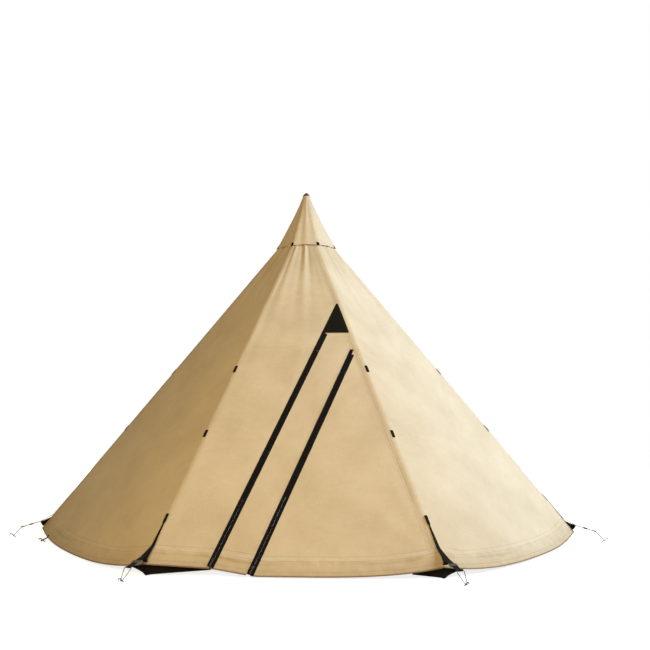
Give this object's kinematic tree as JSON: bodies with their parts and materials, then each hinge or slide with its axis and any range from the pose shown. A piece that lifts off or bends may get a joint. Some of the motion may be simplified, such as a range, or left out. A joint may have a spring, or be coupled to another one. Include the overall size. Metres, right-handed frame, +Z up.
{
  "type": "hot tent",
  "caption": "Many-sided canvas tipi tent on one centre pole, with a raised smoke-vent cap, a slanting zipped door, black corner straps, wire links, pegs and a ground skirt.",
  "frame": {"origin": "centre of the pole foot's lower face, on the ground", "axes": "+Z up along the pole; the door side faces -Y; +X is to the right when the door is faced from outside"},
  "size_m": [5.2912, 5.1587, 3.2],
  "materials": {
    "canvas": "proofed cotton and polyester canvas, matt",
    "webbing": "woven black webbing and skirt cloth, matt",
    "patch": "coated black cloth, satin",
    "zip": "woven black zip tape with a nylon coil",
    "zinc": "black lacquered zinc casting, satin",
    "moulding": "black moulded acetal, satin",
    "steel": "zinc plated steel wire and rod",
    "aluminium": "drawn and turned aluminium, satin",
    "anodised": "turned aluminium, dark bronze anodised",
    "rubber": "moulded black rubber, matt"
  },
  "bodies": {
    "tent": {"front_panel": "canvas", "side_panel_1": "canvas", "side_panel_2": "canvas", "side_panel_3": "canvas", "side_panel_4": "canvas", "side_panel_5": "canvas", "side_panel_6": "canvas", "zip_left_panel_half": "zip", "door_head_patch": "patch", "ground_skirt": "webbing", "crown_webbing": "webbing", "corner_strap_0": "webbing", "corner_strap_1": "webbing", "corner_strap_2": "webbing", "corner_strap_3": "webbing", "corner_strap_4": "webbing", "corner_strap_5": "webbing", "corner_strap_6": "webbing", "pole_head": "moulding", "corner_buckle_0": "moulding", "corner_buckle_1": "moulding", "corner_buckle_2": "moulding", "corner_buckle_3": "moulding", "corner_buckle_4": "moulding", "corner_buckle_5": "moulding", "corner_buckle_6": "moulding", "corner_link_0": "steel", "corner_link_1": "steel", "corner_link_2": "steel", "corner_link_3": "steel", "corner_link_4": "steel", "corner_link_5": "steel", "corner_link_6": "steel", "corner_peg_0": "steel", "corner_peg_1": "steel", "corner_peg_2": "steel", "corner_peg_3": "steel", "corner_peg_4": "steel", "corner_peg_5": "steel", "corner_peg_6": "steel", "hem_peg_2": "steel", "hem_peg_3": "steel", "hem_peg_4": "steel", "hem_peg_5": "steel", "hem_peg_6": "steel", "pole_lower_tube": "aluminium", "pole_upper_tube": "aluminium", "pole_foot": "rubber"},
    "cap": {"vent_cap": "canvas", "cap_mast": "anodised"},
    "leaf": {"door_leaf": "canvas", "zip_right_leaf_half": "zip", "zip_right_strip_half": "zip"},
    "strip": {"door_strip": "canvas", "zip_left_door_half": "zip"},
    "left_slider": {"zip_slider_left": "zinc"},
    "left_pull": {"zip_slider_left_pull": "zinc"},
    "right_slider": {"zip_slider_right": "zinc"},
    "right_pull": {"zip_slider_right_pull": "zinc"}
  },
  "joints": [
    {"name": "cap_lift", "type": "slide", "parent": "tent", "child": "cap", "axis": [0, 0, 1], "range_m": [0, 0.12]},
    {"name": "leaf_swing", "type": "hinge", "parent": "tent", "child": "leaf", "pos_m": [1.00404, -2.18935, 0.08], "axis": [-0.2781, 0.5775, 0.7676], "range_deg": [0, 100]},
    {"name": "strip_swing", "type": "hinge", "parent": "leaf", "child": "strip", "pos_m": [-0.30595, -2.18935, 0.08], "axis": [0.3387, 0.5657, 0.7519], "range_deg": [0, 60]},
    {"name": "left_slider_run", "type": "slide", "parent": "strip", "child": "left_slider", "axis": [0.3387, 0.5657, 0.7519], "range_m": [0, 1.95]},
    {"name": "left_pull_swing", "type": "hinge", "parent": "left_slider", "child": "left_pull", "pos_m": [-0.56879, -2.17732, 0.12034], "axis": [-0.9409, 0.2037, 0.2707], "range_deg": [0, 150]},
    {"name": "right_slider_run", "type": "slide", "parent": "leaf", "child": "right_slider", "axis": [0.3387, 0.5657, 0.7519], "range_m": [0, 1.97]},
    {"name": "right_pull_swing", "type": "hinge", "parent": "right_slider", "child": "right_pull", "pos_m": [-0.28395, -2.211, 0.07559], "axis": [-0.9409, 0.2037, 0.2707], "range_deg": [0, 150]}
  ]
}
